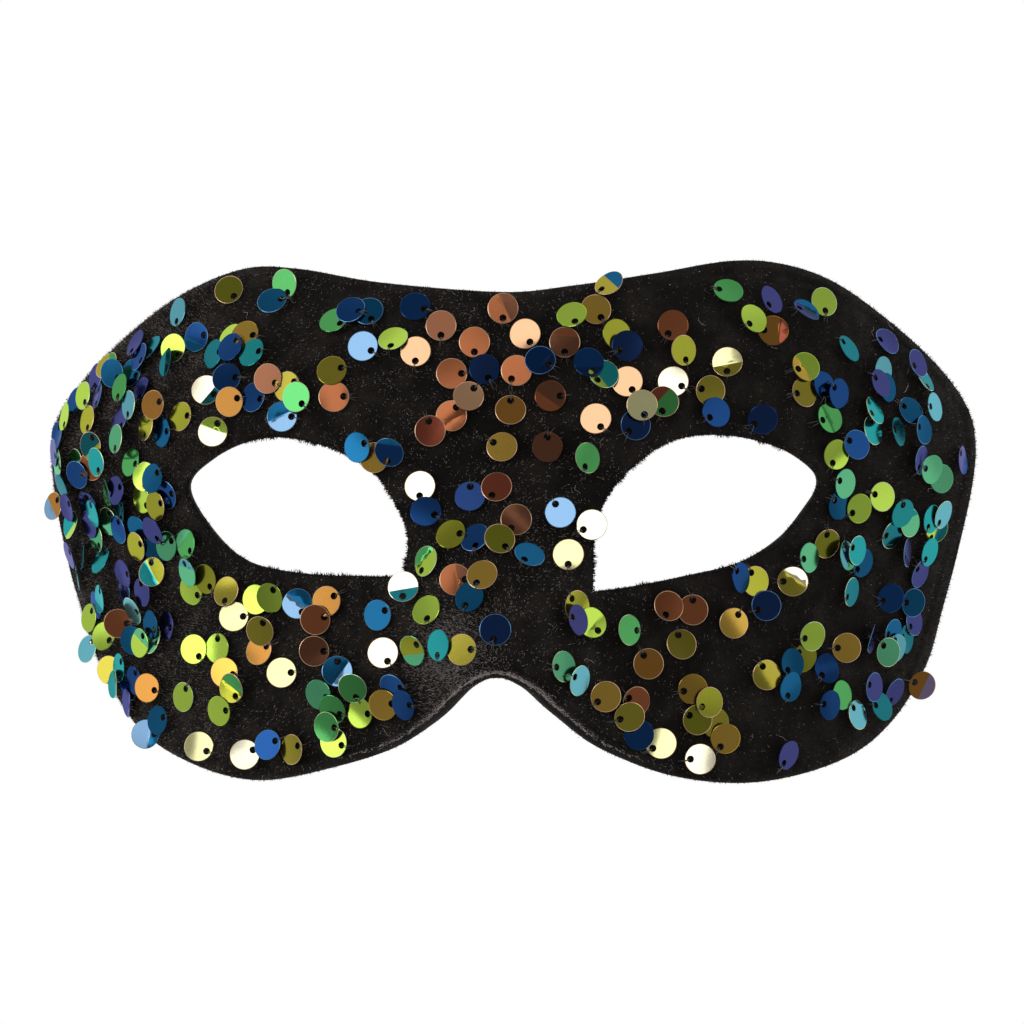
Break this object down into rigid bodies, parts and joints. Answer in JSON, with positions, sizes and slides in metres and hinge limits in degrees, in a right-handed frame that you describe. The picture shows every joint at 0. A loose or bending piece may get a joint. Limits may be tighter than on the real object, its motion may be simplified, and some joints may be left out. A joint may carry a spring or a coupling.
{
  "type": "sequin masquerade mask",
  "caption": "Eye mask of black velvet over a stiff moulded shell, curved to the face with a raised nose, two almond eye holes and round colour-shift sequins.",
  "frame": {"origin": "on the table plane, under the middle of the mask's outline as it lies face up", "axes": "+X across the face towards the picture's right, +Y up the face to the brow, +Z out of the face"},
  "size_m": [0.1804, 0.0954, 0.063],
  "materials": {
    "velvet": "black short-pile velvet, fuzzy at its edges",
    "shell": "plain black moulded sheet with a dull napped back",
    "sequin_copper": "copper-brown face of a colour-shift foil, polished",
    "sequin_brown": "dark red-brown face of a colour-shift foil, polished",
    "sequin_gold": "gold face of a colour-shift foil, polished",
    "sequin_bronze": "bronze face of a colour-shift foil, polished",
    "sequin_olive": "olive face of a colour-shift foil, polished",
    "sequin_lime": "lime face of a colour-shift foil, polished",
    "sequin_green": "green face of a colour-shift foil, polished",
    "sequin_navy": "navy-blue face of a colour-shift foil, polished",
    "sequin_sky": "pale sky-blue glare on a blue foil, polished",
    "sequin_pale": "pale yellow-white glare on a colour-shift foil, polished"
  },
  "bodies": {
    "root": {"velvet_cover": "velvet", "mask_shell": "shell", "sequin_01_pale": "sequin_pale", "sequin_02_pale": "sequin_pale", "sequin_03_pale": "sequin_pale", "sequin_04_pale": "sequin_pale", "sequin_05_pale": "sequin_pale", "sequin_06_pale": "sequin_pale", "sequin_07_pale": "sequin_pale", "sequin_08_pale": "sequin_pale", "sequin_09_pale": "sequin_pale", "sequin_10_pale": "sequin_pale", "sequin_11_pale": "sequin_pale", "sequin_12_pale": "sequin_pale", "sequin_13_pale": "sequin_pale", "sequin_14_pale": "sequin_pale", "sequin_15_pale": "sequin_pale", "sequin_16_pale": "sequin_pale", "sequin_17_pale": "sequin_pale", "sequin_18_pale": "sequin_pale", "sequin_19_pale": "sequin_pale", "sequin_20_pale": "sequin_pale", "sequin_21_sky": "sequin_sky", "sequin_22_sky": "sequin_sky", "sequin_23_sky": "sequin_sky", "sequin_24_sky": "sequin_sky", "sequin_25_sky": "sequin_sky", "sequin_26_sky": "sequin_sky", "sequin_27_brown": "sequin_brown", "sequin_28_copper": "sequin_copper", "sequin_29_copper": "sequin_copper", "sequin_30_copper": "sequin_copper", "sequin_31_gold": "sequin_gold", "sequin_32_copper": "sequin_copper", "sequin_33_copper": "sequin_copper", "sequin_34_bronze": "sequin_bronze", "sequin_35_brown": "sequin_brown", "sequin_36_brown": "sequin_brown", "sequin_37_copper": "sequin_copper", "sequin_38_green": "sequin_green", "sequin_39_navy": "sequin_navy", "sequin_40_brown": "sequin_brown", "sequin_41_copper": "sequin_copper", "sequin_42_olive": "sequin_olive", "sequin_43_green": "sequin_green", "sequin_44_bronze": "sequin_bronze", "sequin_45_gold": "sequin_gold", "sequin_46_copper": "sequin_copper", "sequin_47_gold": "sequin_gold", "sequin_48_olive": "sequin_olive", "sequin_49_gold": "sequin_gold", "sequin_50_copper": "sequin_copper", "sequin_51_gold": "sequin_gold", "sequin_52_lime": "sequin_lime", "sequin_53_bronze": "sequin_bronze", "sequin_54_brown": "sequin_brown", "sequin_55_copper": "sequin_copper", "sequin_56_copper": "sequin_copper", "sequin_57_lime": "sequin_lime", "sequin_58_lime": "sequin_lime"}
  },
  "joints": []
}
